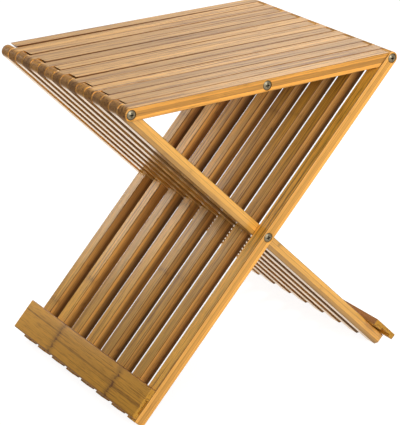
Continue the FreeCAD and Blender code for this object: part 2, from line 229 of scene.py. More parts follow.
paper, paper_tree, paper_shader = new_finish("studio paper")
mottle = node(
    paper_tree,
    "ShaderNodeTexNoise",
    Vector=node(paper_tree, "ShaderNodeTexCoord").outputs["Object"],
    Scale=3.0,
    Detail=2.0,
)
feed(paper_tree, mixed(paper_tree, mottle.outputs[0], *PAPER_GREYS), paper_shader.inputs["Base Color"])
paper_shader.inputs["Roughness"].default_value = 0.9
paper_shader.inputs["Specular IOR Level"].default_value = 0.0

paper_ray = node(paper_tree, "ShaderNodeLightPath")
is_seen = paper_ray.outputs["Is Camera Ray"]
is_mirrored = paper_ray.outputs["Is Glossy Ray"]
glow = sum_of(paper_tree, "MULTIPLY_ADD", is_seen, PAPER_SEEN - PAPER_LIT, PAPER_LIT)
glow = sum_of(paper_tree, "MULTIPLY_ADD", is_mirrored, PAPER_MIRRORED - PAPER_LIT, glow)
feed(paper_tree, glow, paper_shader.inputs["Emission Strength"])
feed(paper_tree, mixed(paper_tree, is_seen, WARM_GLOW, WHITE), paper_shader.inputs["Emission Color"])
floor.data.materials.append(paper)
print("floor:", floor.name, FLOOR_SIZE, "metres wide,", paper.name)

# %% [markdown]
# ## Light
#
# Five square panels light the stool. One in front and one at the front left light the faces that are seen,
# one high on the right lights the seat, one behind on the right draws the edges, and a small low one behind
# on the left catches the upper ends of the legs. One large panel would be simpler, but the slats hide so
# much from each other that each side needs its own. The world is nearly dark as a light, so that the spaces
# between the slats stay deep, bright and warm where the varnish mirrors it, and white where it is seen.

# %% Light panels
DAYLIGHT = (1.0, 0.99, 0.98)
PANELS = {  # where it stands, its side in metres, its power in watts, its colour
    "front_light": ((0.0, -2.6, 1.2), 1.0, 38.0, DAYLIGHT),
    "left_light": ((-1.6, -2.0, 1.6), 1.0, 20.0, DAYLIGHT),
    "top_light": ((0.9, 0.5, 2.2), 1.0, 30.0, DAYLIGHT),
    "back_light": ((1.5, 1.5, 1.8), 1.0, 11.0, (1.0, 0.97, 0.92)),
    "side_light": ((-0.38, 0.88, 0.62), 0.3, 2.9, (1.0, 0.95, 0.86)),
}


def soft_panel(name, place, size, power, colour):
    """A square area light standing at place and turned to face the stool's middle."""
    data = bpy.data.lights.new(name, "AREA")
    data.shape = "SQUARE"
    data.size = size
    data.energy = power
    data.color = colour
    panel = bpy.data.objects.new(name, data)
    panel.location = place
    panel.rotation_euler = (stool_middle - Vector(place)).to_track_quat("-Z", "Y").to_euler()
    bpy.context.scene.collection.objects.link(panel)


for name, panel in PANELS.items():
    soft_panel(name, *panel)

# %% World
WORLD_LIGHT = 0.02
WORLD_MIRRORED = 0.95

world = bpy.data.worlds.new("studio")
bpy.context.scene.world = world
world.use_nodes = True
sky = world.node_tree
sky.nodes.clear()
ray = node(sky, "ShaderNodeLightPath")
lit_by = node(sky, "ShaderNodeBackground", Color=(*DAYLIGHT, 1), Strength=WORLD_LIGHT)
mirrored_by = node(sky, "ShaderNodeBackground", Color=(1.0, 0.91, 0.8, 1), Strength=WORLD_MIRRORED)
seen_behind = node(sky, "ShaderNodeBackground", Color=WHITE)
gloss_mix = node(sky, "ShaderNodeMixShader")
sky_mix = node(sky, "ShaderNodeMixShader")
for value, socket in (
    (ray.outputs["Is Glossy Ray"], gloss_mix.inputs[0]),
    (lit_by.outputs[0], gloss_mix.inputs[1]),
    (mirrored_by.outputs[0], gloss_mix.inputs[2]),
    (ray.outputs["Is Camera Ray"], sky_mix.inputs[0]),
    (gloss_mix.outputs[0], sky_mix.inputs[1]),
    (seen_behind.outputs[0], sky_mix.inputs[2]),
):
    feed(sky, value, socket)
node(sky, "ShaderNodeOutputWorld", Surface=sky_mix.outputs[0])
bpy.context.scene.view_settings.view_transform = "Standard"
print("world:", world.name, "with", len(sky.nodes), "nodes")

# %% [markdown]
# ## Bamboo
#
# A bamboo slat is three layers of split cane glued on top of each other, so its broad top shows one layer's
# fine fibres and its sides show all three as bands with thin dark glue lines. Each cane had a ring every
# twenty or thirty centimetres, and the ring stays in the wood as a short dark crosswise mark. A picture of
# wood could be wrapped on, but it would repeat and stretch. A solid pattern, worked out from each point's
# place in the slat, has the right grain on every face, and one node group serves every set of slats.

# %% Bamboo group: its sockets
LANE_PITCH = 0.0204
HALF_SLAT = 0.00995
SLAT_THICKNESS = 0.017

bamboo, source, target = new_group(
    "bamboo grain",
    [
        ("Slat Place", "NodeSocketVector", None),
        ("Face Colour", "NodeSocketColor", (0.5, 0.3, 0.15, 1)),
        ("Side Colour", "NodeSocketColor", (0.6, 0.3, 0.1, 1)),
        ("Fibre Colour", "NodeSocketColor", (0.3, 0.15, 0.05, 1)),
        ("Ring Colour", "NodeSocketColor", (0.15, 0.06, 0.02, 1)),
        ("Lane Pitch", "NodeSocketFloat", LANE_PITCH),
        ("Half Width", "NodeSocketFloat", HALF_SLAT),
        ("Seed", "NodeSocketFloat", 0.0),
        ("Tone Spread", "NodeSocketFloat", 0.2),
        ("Middle Ply", "NodeSocketFloat", 0.0),
        ("Fibre Strength", "NodeSocketFloat", 0.5),
        ("Ring Strength", "NodeSocketFloat", 0.6),
        ("Ring Gap", "NodeSocketFloat", 0.3),
        ("Ring Shift", "NodeSocketFloat", 0.0),
        ("Ring Scatter", "NodeSocketFloat", 1.0),
        ("End Stain", "NodeSocketFloat", 0.0),
        ("Coat", "NodeSocketFloat", 0.3),
        ("Inner Dark", "NodeSocketFloat", 0.0),
    ],
    [
        ("Colour", "NodeSocketColor"),
        ("Roughness", "NodeSocketFloat"),
        ("Varnish", "NodeSocketFloat"),
        ("Height", "NodeSocketFloat"),
    ],
)
given = source.outputs
print("bamboo group:", len(given) - 1, "values in")

# %% [markdown]
# ### Which slat, which side, which ply
#
# The group gets each point's place as three lengths: along the slat from its hinge, across all the lanes,
# and through the slat from its middle. A mask could be painted for the sides and the glue lines, but they
# are only distances. The fraction of a lane gives the distance to the slat's side, and the distance from
# the middle gives the ply, so both stay right however long the slat is.

# %% Bamboo group: the slat's own directions
PLY = SLAT_THICKNESS / 3
SIDE_AND_EDGE_HIGHLIGHT = (0.0001, 0.0019)
GLUE_HALF_WIDTH = 0.0006

place = node(bamboo, "ShaderNodeSeparateXYZ", Vector=given["Slat Place"])
along, across, through = place.outputs
lanes = sum_of(bamboo, "DIVIDE", across, given["Lane Pitch"])
lane = sum_of(bamboo, "FLOOR", lanes)
off_middle = sum_of(bamboo, "SUBTRACT", sum_of(bamboo, "FRACT", lanes), 0.5)
off_middle = sum_of(bamboo, "MULTIPLY", off_middle, given["Lane Pitch"])
to_side = sum_of(bamboo, "SUBTRACT", given["Half Width"], sum_of(bamboo, "ABSOLUTE", off_middle))
# The side's colour also reaches about 2 mm onto the face along each lane's edge; on the slats this band is a
# painted highlight on the rounded edges.
side = fade(bamboo, to_side, *SIDE_AND_EDGE_HIGHLIGHT)
ply = sum_of(bamboo, "FLOOR", sum_of(bamboo, "MULTIPLY_ADD", through, 1 / PLY, 1.5))
from_middle = sum_of(bamboo, "ABSOLUTE", through)
to_glue = sum_of(bamboo, "ABSOLUTE", sum_of(bamboo, "SUBTRACT", from_middle, PLY / 2))
glue_line = sum_of(bamboo, "MULTIPLY", fade(bamboo, to_glue, 0.0, GLUE_HALF_WIDTH), side)
print("each ply is", round(PLY * 1000, 2), "mm thick")

# %% [markdown]
# ### The luck of each slat
#
# No two slats come from the same cane, and neither do the plies of one slat. A material for each would be
# hundreds of nodes. A White Noise node instead turns a slat's number into a value of its own, which is the
# same each time the script runs, and each strip of cane reads the grain at a place of its own.

# %% Bamboo group: luck of each slat and ply
lane_seed = sum_of(bamboo, "MULTIPLY_ADD", lane, 7.31, given["Seed"])
slat_luck = node(bamboo, "ShaderNodeTexWhiteNoise", {"noise_dimensions": "1D"}, W=lane_seed)
ply_seed = sum_of(bamboo, "MULTIPLY_ADD", ply, 3.17, lane_seed)
ply_luck = node(bamboo, "ShaderNodeTexWhiteNoise", {"noise_dimensions": "1D"}, W=ply_seed)
ply_parts = node(bamboo, "ShaderNodeSeparateColor", Color=ply_luck.outputs["Color"])
strip_place = node(
    bamboo,
    "ShaderNodeCombineXYZ",
    X=sum_of(bamboo, "MULTIPLY_ADD", lane_seed, 0.37, along),
    Y=sum_of(bamboo, "MULTIPLY_ADD", ply, 0.113, across),
    Z=through,
).outputs[0]
print("bamboo group:", len(bamboo.nodes), "nodes so far")

# %% [markdown]
# ### Fibres, streaks and drift
#
# Bamboo has no year rings. Its fibres run the length of the cane as fine dark lines, some of them gather in
# longer streaks, and the tone drifts slowly. A Wave texture gives lines too, but evenly spaced ones. Noise
# with few changes a metre along the slat and many across it gives lines that start, end and thicken by
# themselves.

# %% Bamboo group: fibres, streaks and slow drift
def stretched_noise(per_metre_along, per_metre_across, detail):
    """Noise drawn out along the slat: few changes a metre along it, many across it."""
    squeeze = (per_metre_along, per_metre_across, per_metre_across)
    squeezed = node(bamboo, "ShaderNodeMapping", Vector=strip_place, Scale=squeeze).outputs[0]
    return node(bamboo, "ShaderNodeTexNoise", Vector=squeezed, Scale=1.0, Detail=detail).outputs[0]


fibres = stretched_noise(45, 900, 3)
streaks = stretched_noise(4, 340, 5)
drift = stretched_noise(6, 110, 2)
fibre_lines = step(bamboo, streaks, 0.5, 0.62)
fine_lines = step(bamboo, fibres, 0.52, 0.64)
off_streaks = sum_of(bamboo, "SUBTRACT", streaks, 0.5)
off_drift = sum_of(bamboo, "SUBTRACT", drift, 0.5)
print("bamboo group:", len(bamboo.nodes), "nodes so far")

# %% [markdown]
# ### The rings of the cane
#
# A ring is a toothed dark line across one ply, with a soft shade to both sides of it, and it stops at the
# glue line because the next ply is another cane. The length along the slat, divided by the gap between
# rings, has a fraction that is one half at each ring. Each ply's luck shifts that and changes the gap, and
# the streaks give the line its teeth.

# %% Bamboo group: the rings of the cane
RING_LINE = (0.0004, 0.0036)
RING_SHADE = (0.001, 0.012)
RING_WAVE = 0.008
RING_TEETH = 0.018

gap_luck = sum_of(bamboo, "MULTIPLY_ADD", ply_luck.outputs["Value"], 0.5, -0.25)
gap_luck = sum_of(bamboo, "MULTIPLY_ADD", gap_luck, given["Ring Scatter"], 1.0)
ring_gap = sum_of(bamboo, "MULTIPLY", gap_luck, given["Ring Gap"])
ring_luck = sum_of(bamboo, "MULTIPLY", ply_parts.outputs[1], 3.0)
ring_luck = sum_of(bamboo, "MULTIPLY_ADD", ring_luck, given["Ring Scatter"], given["Ring Shift"])
ring_wave = sum_of(bamboo, "MULTIPLY", off_drift, RING_WAVE)
ring_wave = sum_of(bamboo, "MULTIPLY_ADD", off_streaks, RING_TEETH, ring_wave)
ring_phase = sum_of(bamboo, "DIVIDE", sum_of(bamboo, "ADD", along, ring_wave), ring_gap)
ring_phase = sum_of(bamboo, "ADD", ring_phase, ring_luck)
to_ring = sum_of(bamboo, "SUBTRACT", sum_of(bamboo, "FRACT", ring_phase), 0.5)
to_ring = sum_of(bamboo, "ABSOLUTE", sum_of(bamboo, "MULTIPLY", to_ring, ring_gap))
ring = fade(bamboo, to_ring, *RING_LINE)
ring_shade = fade(bamboo, to_ring, *RING_SHADE)
ring_force = sum_of(bamboo, "MULTIPLY_ADD", ply_parts.outputs[2], 0.9, 0.15)
ring_force = sum_of(bamboo, "MULTIPLY", ring_force, given["Ring Strength"])
ring_broken = sum_of(bamboo, "MULTIPLY", ring, step(bamboo, streaks, 0.35, 0.6))
ring_dark = sum_of(bamboo, "MULTIPLY", ring_broken, 0.6)
ring_dark = sum_of(bamboo, "MULTIPLY_ADD", ring_shade, 0.32, ring_dark)
ring_dark = sum_of(bamboo, "MULTIPLY", ring_dark, ring_force, clamp=True)
print("bamboo group:", len(bamboo.nodes), "nodes so far")

# %% [markdown]
# ### The light and dark of the wood
#
# One slat is lighter than the next, one ply lighter than its neighbour, and the tone drifts along each of
# them. All these are added up into one number, how much lighter or darker than its colour the wood is here.
# A Color Ramp could do it, but then every slat's range would have to be set again for every colour.

# %% Bamboo group: tone
tone = sum_of(bamboo, "SUBTRACT", slat_luck.outputs["Value"], 0.5)
ply_tone = sum_of(bamboo, "SUBTRACT", ply_luck.outputs["Value"], 0.5)
ply_shows = sum_of(bamboo, "MULTIPLY_ADD", side, 0.7, 0.6)
tone = sum_of(bamboo, "ADD", tone, sum_of(bamboo, "MULTIPLY", ply_tone, ply_shows))
# The set-wide middle ply offset lightens or darkens the middle ply on the sides. It is partly that ply's own
# tone and partly painted light: a painted highlight band along the middle of the right legs' sides, and on
# the seat's sides brighter upper and lower bands that are a painted highlight and a painted reflection of the
# floor.
in_middle = sum_of(bamboo, "MULTIPLY", sum_of(bamboo, "COMPARE", ply, 1.0, 0.5), side)
middle_ply_tone_and_light = sum_of(bamboo, "MULTIPLY", in_middle, given["Middle Ply"])
tone = sum_of(bamboo, "ADD", tone, middle_ply_tone_and_light)
tone = sum_of(bamboo, "MULTIPLY_ADD", off_drift, 1.7, tone)
tone = sum_of(bamboo, "MULTIPLY_ADD", off_streaks, 1.6, tone)
brightness = sum_of(bamboo, "MULTIPLY_ADD", tone, given["Tone Spread"], 1.0)
print("bamboo group:", len(bamboo.nodes), "nodes so far")

# %% [markdown]
# ### The colours, from broad to fine
#
# The colours are laid over each other from broad to fine: the cane's own colour on face and side, a painted
# shade on the sides that face another slat, which stands for the shadow deep between the slats, the tone,
# then fibres, rings and glue. A painted dark line stands for the shadow in the seam where two slats nearly
# touch, and a painted shade darkens the round ends at the hinges, which face away from the light. Mixing by a
# mask each time keeps every layer easy to turn up or down.

# %% Bamboo group: colour
INNER_SIDES = (0.134, 0.140)
SHADE_THROUGH = (-0.005, 0.006)
SEAM_CORNER = (0.0076, 0.0082)
SEAM_WIDTH = (0.0005, 0.0015)
SHADED_END_REACH = (-0.006, 0.001)
PAINTED_END_SHADE = (0.56, 0.48, 0.3, 1)

# Painted shade: on the sides that face another slat the colour turns towards the ring colour, more the deeper
# into the gap, standing for the shadow between the slats.
painted_gap_shade = fade(bamboo, sum_of(bamboo, "ABSOLUTE", across), *INNER_SIDES)
painted_gap_shade = sum_of(bamboo, "MULTIPLY", painted_gap_shade, side)
painted_gap_shade = sum_of(bamboo, "MULTIPLY", painted_gap_shade, fade(bamboo, through, *SHADE_THROUGH, 0.1))
painted_gap_shade = sum_of(bamboo, "MULTIPLY", painted_gap_shade, given["Inner Dark"])
wood = mixed(bamboo, side, given["Face Colour"], given["Side Colour"])
wood = mixed(bamboo, painted_gap_shade, wood, given["Ring Colour"])
grey = node(bamboo, "ShaderNodeCombineColor", Red=brightness, Green=brightness, Blue=brightness)
wood = mixed(bamboo, 1.0, wood, grey.outputs[0], "MULTIPLY")

fibre_amount = sum_of(bamboo, "MULTIPLY_ADD", fine_lines, 0.6, fibre_lines)
less_on_sides = sum_of(bamboo, "MULTIPLY_ADD", side, -0.6, 1.0)
fibre_amount = sum_of(bamboo, "MULTIPLY", fibre_amount, less_on_sides)
fibre_amount = sum_of(bamboo, "MULTIPLY", fibre_amount, given["Fibre Strength"], clamp=True)
wood = mixed(bamboo, fibre_amount, wood, given["Fibre Colour"])
wood = mixed(bamboo, ring_dark, wood, given["Ring Colour"])
wood = mixed(bamboo, sum_of(bamboo, "MULTIPLY", glue_line, 0.4), wood, given["Ring Colour"])

# Painted shade: a dark line along the seam where two slats nearly touch stands for the shadow in the gap; the
# same mask makes the seam rough and bare of varnish.
painted_seam_shade = fade(bamboo, to_side, *SEAM_WIDTH)
painted_seam_shade = sum_of(bamboo, "MULTIPLY", painted_seam_shade, step(bamboo, from_middle, *SEAM_CORNER))
wood = mixed(bamboo, sum_of(bamboo, "MULTIPLY", painted_seam_shade, 0.95), wood, given["Ring Colour"])
# Painted shade: the round ends at the hinges are darkened, standing for the shade on ends that face away from
# the light; the same mask makes them rough and soaks up the varnish.
on_end = sum_of(bamboo, "MULTIPLY", fade(bamboo, along, *SHADED_END_REACH), given["End Stain"])
on_end = sum_of(bamboo, "MULTIPLY", on_end, sum_of(bamboo, "SUBTRACT", 1.0, side))
wood = mixed(bamboo, on_end, wood, PAINTED_END_SHADE, "MULTIPLY")
feed(bamboo, wood, target.inputs["Colour"])
print("bamboo group:", len(bamboo.nodes), "nodes so far")

# %% [markdown]
# ### Varnish and relief
#
# A clear varnish lies on the open faces. It soaks into the cut ends, and the brush misses the seams and the
# sides that face another slat, so there the wood is rough and bare. The group puts out how rough the wood
# is, how much varnish lies on it, and a height in which the fibres stand up a little and the rings more.

# %% Bamboo group: varnish and relief
sheen = sum_of(bamboo, "MULTIPLY_ADD", streaks, 0.25, 0.36)
for mask, rougher in ((on_end, 0.25), (painted_gap_shade, 0.4)):
    sheen = sum_of(bamboo, "MULTIPLY_ADD", mask, rougher, sheen)
sheen = sum_of(bamboo, "MULTIPLY_ADD", painted_seam_shade, 0.3, sheen, clamp=True)
feed(bamboo, sheen, target.inputs["Roughness"])
soaked_in = sum_of(bamboo, "MULTIPLY_ADD", on_end, -0.92, 1.0)
soaked_in = sum_of(bamboo, "MULTIPLY_ADD", painted_seam_shade, -0.9, soaked_in)
soaked_in = sum_of(bamboo, "MULTIPLY_ADD", painted_gap_shade, -1.1, soaked_in, clamp=True)
feed(bamboo, sum_of(bamboo, "MULTIPLY", soaked_in, given["Coat"]), target.inputs["Varnish"])
feed(bamboo, sum_of(bamboo, "MULTIPLY_ADD", ring, 0.8, fibres), target.inputs["Height"])
print("bamboo group:", len(bamboo.nodes), "nodes in all")

# %% [markdown]
# ## The finishes of the slats
#
# All slats are the same varnished bamboo, but their grain follows each slat, and the slats point four ways:
# the seat slats lie flat from the left and from the right, and the legs lean to both sides. A Mapping node
# moves a set's hinge to the middle and turns the set level, so the one group serves them all. The legs' lean
# is not typed in: it is the slope from the seat hinge to the crossing pivot.

# %% Where the slats lie
joint_place = {joint["name"]: Vector(joint["pos_m"]) for joint in frame["joints"]}
left_hinge = joint_place["left_seat_hinge"]
right_hinge = joint_place["right_seat_hinge"]
crossing = joint_place["leg_fold"]
LEG_LEAN = math.atan2(left_hinge.z - crossing.z, crossing.x - left_hinge.x)
print("the legs lean", round(math.degrees(LEG_LEAN), 2), "degrees")


def slat_place(tree, hinge, mirrored, lean):
    """The slat's own directions: the object's place mirrored, turned by the lean, the hinge at zero."""
    turn = Matrix.Rotation(-lean, 3, "Y") @ Matrix.Diagonal((-1 if mirrored else 1, 1, 1))
    corner = turn @ Vector((hinge.x, 0, hinge.z))
    mapping = node(
        tree,
        "ShaderNodeMapping",
        Vector=node(tree, "ShaderNodeTexCoord").outputs["Object"],
        Location=-corner,
        Rotation=(0, -lean, 0),
        Scale=(-1 if mirrored else 1, 1, 1),
    )
    return mapping.outputs[0]


# %% [markdown]
# ### Varnished bamboo
#
# The varnish is the shader's coat, a clear skin that is nearly a mirror where one looks along it. Making the
# wood itself smoother would take the soft grain away with it. The seat gets some varnish, the right legs most
# and the left legs least, which is how strongly each set shines. On the legs the sides that face another slat
# get a painted shade, darker the deeper they lie, which stands for the shadow in the deep spaces.

# %% Varnished bamboo
COAT_ROUGHNESS = 0.2
GRAIN_RELIEF = 0.0002


def varnished_bamboo(name, where, gloss, **values):
    """Varnished bamboo. where gives a tree's slat place; values fill the bamboo group's sockets."""
    material, tree, shader = new_finish(name)
    grain = node(tree, "ShaderNodeGroup", {"node_tree": bamboo}, Slat_Place=where(tree), **values)
    relief = node(
        tree,
        "ShaderNodeBump",
        Height=grain.outputs["Height"],
        Strength=0.3,
        Distance=GRAIN_RELIEF,
    )
    feed(tree, grain.outputs["Colour"], shader.inputs["Base Color"])
    feed(tree, grain.outputs["Roughness"], shader.inputs["Roughness"])
    feed(tree, grain.outputs["Varnish"], shader.inputs["Coat Weight"])
    feed(tree, relief.outputs["Normal"], shader.inputs["Normal"])
    shader.inputs["Specular IOR Level"].default_value = gloss
    shader.inputs["Coat Roughness"].default_value = COAT_ROUGHNESS
    return material


SEAT = {
    "Face_Colour": srgb(196, 147, 76),
    "Side_Colour": srgb(240, 169, 72),
    "Fibre_Colour": srgb(122, 80, 32),
    "Ring_Colour": srgb(88, 48, 16),
    "Tone_Spread": 0.5,
    "Middle_Ply": -0.15,
    "Fibre_Strength": 0.9,
    "Ring_Strength": 0.45,
    "End_Stain": 1.0,
    "Coat": 0.34,
}
RIGHT_LEGS = {
    "Face_Colour": srgb(212, 156, 52),
    "Side_Colour": srgb(246, 182, 76),
    "Fibre_Colour": srgb(108, 66, 22),
    "Ring_Colour": srgb(84, 44, 12),
    "Tone_Spread": 0.5,
    "Middle_Ply": 0.5,
    "Fibre_Strength": 0.65,
    "Ring_Strength": 0.6,
    "End_Stain": 1.0,
    "Coat": 0.85,
    "Inner_Dark": 0.55,
}
LEFT_LEGS = {
    **RIGHT_LEGS,
    "Face_Colour": srgb(230, 172, 66),
    "Side_Colour": srgb(228, 166, 80),
    "Fibre_Colour": srgb(128, 82, 26),
    "Middle_Ply": 0.1,
    "Coat": 0.22,
    "Inner_Dark": 0.72,
}
SLAT_SETS = {  # the finish's name, the hinge, mirrored or not, the lean, the values, the seed, the gloss
    "left_seat_slat": ("left seat bamboo", left_hinge, False, 0, SEAT, 1.3, 0.3),
    "right_seat_slat": ("right seat bamboo", right_hinge, True, 0, SEAT, 4.1, 0.3),
    "right_leg_slat": ("right leg bamboo", left_hinge, False, LEG_LEAN, RIGHT_LEGS, 8.7, 0.5),
    "left_leg_slat": ("left leg bamboo", right_hinge, True, LEG_LEAN, LEFT_LEGS, 12.9, 0.25),
}


def finish_nodes(start, material):
    """Give the material to every CAD node whose name starts so; returns how many there are."""
    found = [o for name, o in frame["nodes"].items() if name.startswith(start)]
    for o in found:
        o.data.materials.clear()
        o.data.materials.append(material)
    return len(found)


for start, (name, hinge, mirrored, lean, kind, seed, gloss) in SLAT_SETS.items():
    finish = varnished_bamboo(
        name,
        lambda tree: slat_place(tree, hinge, mirrored, lean),
        gloss,
        Seed=seed,
        **kind,
    )
    print(finish_nodes(start, finish), "slats:", finish.name)

# %% [markdown]
# ## Making a piece from numpy arrays
#
# The next pieces are worked out as arrays of points. One helper turns points and faces into a mesh, closes
# its ends, turns its faces outwards, keeps its edges crisp, and hangs it on the part of the stool that it
# moves with. It prints how many edges are left open, which has to be none.

# %% New piece
CRISP_ANGLE = math.radians(32)
SAME_POINT = 1e-6


def new_piece(name, points, faces, finish, body, stands_for):
    """A mesh from arrays, its open ends closed with flat faces."""
    mesh = bpy.data.meshes.new(name)
    mesh.from_pydata(np.asarray(points).tolist(), [], np.asarray(faces).tolist())
    work = bmesh.new()
    work.from_mesh(mesh)
    bmesh.ops.remove_doubles(work, verts=work.verts, dist=SAME_POINT)
    bmesh.ops.holes_fill(work, edges=[edge for edge in work.edges if edge.is_boundary], sides=0)
    bmesh.ops.recalc_face_normals(work, faces=work.faces)
    open_edges = sum(not edge.is_manifold for edge in work.edges)
    work.to_mesh(mesh)
    work.free()
    mesh.shade_smooth()
    mesh.set_sharp_from_angle(angle=CRISP_ANGLE)
    mesh.materials.append(finish)
    piece = bpy.data.objects.new(name, mesh)
    bpy.context.scene.collection.objects.link(piece)
    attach(piece, body)
    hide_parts(stands_for)
    print(name, len(mesh.polygons), "faces,", open_edges, "open edges")
    return piece


# %% [markdown]
# ## Foot boards
#
# A board 45 mm wide is screwed across the eight legs of each side. Its section is a flat plank with a
# shallow channel along its inner face, and every edge is eased with sandpaper, which is what catches the
# light. A box with a Bevel modifier would do for the plank, but the channel and the different edges are
# simpler as one outline carried along the board: at both ends the outline shrinks inwards along a quarter
# circle.

# %% Foot board outline
def eased_outline(corners, radii, steps=5):
    """Corners, run anticlockwise, eased to the radii: for each point its corner, mitre, radius and direction.

    A point lies at corner - mitre * radius + radius * direction, and the direction turns from the normal of
    the edge before the corner to the normal of the edge after it.
    """
    corners = np.array(corners, float)
    before = corners - np.roll(corners, 1, axis=0)
    before /= np.linalg.norm(before, axis=1, keepdims=True)
    normal_before = np.stack((before[:, 1], -before[:, 0]), axis=1)
    normal_after = np.roll(normal_before, -1, axis=0)
    overlap = (normal_before * normal_after).sum(1, keepdims=True)
    mitre = (normal_before + normal_after) / (1 + overlap)
    first = np.arctan2(normal_before[:, 1], normal_before[:, 0])
    turn = np.arctan2(normal_after[:, 1], normal_after[:, 0]) - first
    turn = (turn + math.pi) % (2 * math.pi) - math.pi
    angle = first[:, None] + turn[:, None] * np.linspace(0, 1, steps)
    direction = np.stack((np.cos(angle), np.sin(angle)), axis=2)
    shape = direction.shape
    return (
        np.broadcast_to(corners[:, None], shape).reshape(-1, 2),
        np.broadcast_to(mitre[:, None], shape).reshape(-1, 2),
        np.repeat(radii, steps),
        direction.reshape(-1, 2),
    )


def carried(outline, half_length, rim, steps=5):
    """The outline carried from -half_length to half_length, shrinking by the rim at both ends.

    The station at angle a of the rim's quarter circle lies rim * (1 - cos a) from the end and is inset by
    rim * (1 - sin a). An inset outline is corner - mitre * max(inset, radius) + max(radius - inset, 0) *
    direction. Returns the points as an array: around the outline, along the length, (x, y, z).
    """
    corner, mitre, radius, direction = outline
    angle = np.linspace(0, math.pi / 2, steps)
    inset = rim * (1 - np.sin(angle))
    at = rim * (1 - np.cos(angle)) - half_length
    inset = np.concatenate((inset, inset[::-1]))
    at = np.concatenate((at, -at[::-1]))
    held = np.maximum(inset[None, :], radius[:, None])[..., None]
    left = np.maximum(radius[:, None] - inset[None, :], 0)[..., None]
    flat = corner[:, None] - mitre[:, None] * held + left * direction[:, None]
    return np.stack((flat[..., 0], np.broadcast_to(at, flat.shape[:2]), flat[..., 1]), axis=2)


def grid_faces(rows, columns, wrapped=True):
    """The four corners of every square of a grid of points, closed around its rows if wrapped."""
    row = np.arange(rows if wrapped else rows - 1)
    column = np.arange(columns - 1)
    first = row[:, None] * columns + column
    second = ((row + 1) % rows)[:, None] * columns + column
    return np.stack((first, second, second + 1, first + 1), axis=2).reshape(-1, 4)


print("a grid of 3 by 3 points has", len(grid_faces(3, 3, wrapped=False)), "squares")

# %% Foot board shape
BOARD_NEAR_HINGE = 0.524
BOARD_WIDTH = 0.045
BOARD_INNER_FACE = SLAT_THICKNESS / 2
BOARD_THICKNESS = 0.0085
BOARD_RIM = 0.0007
CHANNEL_START = 0.017
CHANNEL_WIDTH = 0.020
CHANNEL_DEPTH = 0.0034
EASED_OUTSIDE = 0.0014
EASED_INSIDE = 0.0006
EASED_CHANNEL = 0.0003


def foot_plank(low, high, hinge, mirrored):
    """The plank's outline carried from low to high and laid on the leaning legs; returns a grid of points.

    With u the length from the hinge and w the height off the leg's middle, x is the hinge's x plus
    u cos(lean) + w sin(lean), turned round if mirrored, and z is its z less u sin(lean) plus w cos(lean).
    """
    start = BOARD_NEAR_HINGE
    end = start + BOARD_WIDTH
    dip = start + CHANNEL_START
    rise = dip + CHANNEL_WIDTH
    inner = BOARD_INNER_FACE
    outer = inner + BOARD_THICKNESS
    channel_floor = inner + CHANNEL_DEPTH
    eased_corners = [
        (start, inner, EASED_INSIDE),
        (dip, inner, EASED_CHANNEL),
        (dip, channel_floor, 0),
        (rise, channel_floor, 0),
        (rise, inner, EASED_CHANNEL),
        (end, inner, EASED_INSIDE),
        (end, outer, EASED_OUTSIDE),
        (start, outer, EASED_OUTSIDE),
    ]
    corners = [(u, w) for u, w, _ in eased_corners]
    radii = np.array([radius for _, _, radius in eased_corners])
    plank = carried(eased_outline(corners, radii), (high.y - low.y) / 2, BOARD_RIM)
    u, y, w = plank[..., 0], plank[..., 1], plank[..., 2]
    cosine = math.cos(LEG_LEAN)
    sine = math.sin(LEG_LEAN)
    flip = -1 if mirrored else 1
    x = hinge.x + flip * (u * cosine + w * sine)
    z = hinge.z - u * sine + w * cosine
    return np.stack((x, y + (low.y + high.y) / 2, z), axis=2)


print("the channel leaves", round((BOARD_THICKNESS - CHANNEL_DEPTH) * 1000, 1), "mm of board")

# %% [markdown]
# ### The boards' finish
#
# A board is a single piece of cane, so its grain runs along the board, across the legs, and two rings cross
# all of it. The bamboo group serves again: the board's length is given as the way along and its width as one
# wide lane, the rings are strong and evenly set, and the finish is duller than the slats'.

# %% Foot board finish
BOARD_GLOSS = 0.2
BOARD = {
    **LEFT_LEGS,
    "Face_Colour": srgb(226, 165, 60),
    "Side_Colour": srgb(164, 113, 68),
    "Fibre_Colour": srgb(132, 88, 30),
    "Ring_Colour": srgb(104, 62, 20),
    "Lane_Pitch": BOARD_WIDTH,
    "Half_Width": BOARD_WIDTH / 2,
    "Tone_Spread": 0.2,
    "Ring_Strength": 2.0,
    "Ring_Gap": 0.156,
    "Ring_Shift": 0.083,
    "Ring_Scatter": 0.0,
    "End_Stain": 0.0,
    "Coat": 0.14,
    "Inner_Dark": 0.0,
}
BOARDS = {  # the hinge of its legs, mirrored or not, the seed
    "left": (right_hinge, True, 2.3),
    "right": (left_hinge, False, 5.8),
}


def board_place(tree, hinge, mirrored):
    """The board's own directions: along it, across it from its upper edge, and through it."""
    parts = node(tree, "ShaderNodeSeparateXYZ", Vector=slat_place(tree, hinge, mirrored, LEG_LEAN))
    middle = BOARD_NEAR_HINGE + BOARD_WIDTH / 2
    off_centre = sum_of(tree, "SUBTRACT", parts.outputs[0], middle)
    made = node(
        tree,
        "ShaderNodeCombineXYZ",
        X=parts.outputs[1],
        Y=sum_of(tree, "ADD", off_centre, BOARD_WIDTH / 2),
        Z=sum_of(tree, "SUBTRACT", parts.outputs[2], BOARD_INNER_FACE + BOARD_THICKNESS / 2),
    )
    return made.outputs[0]


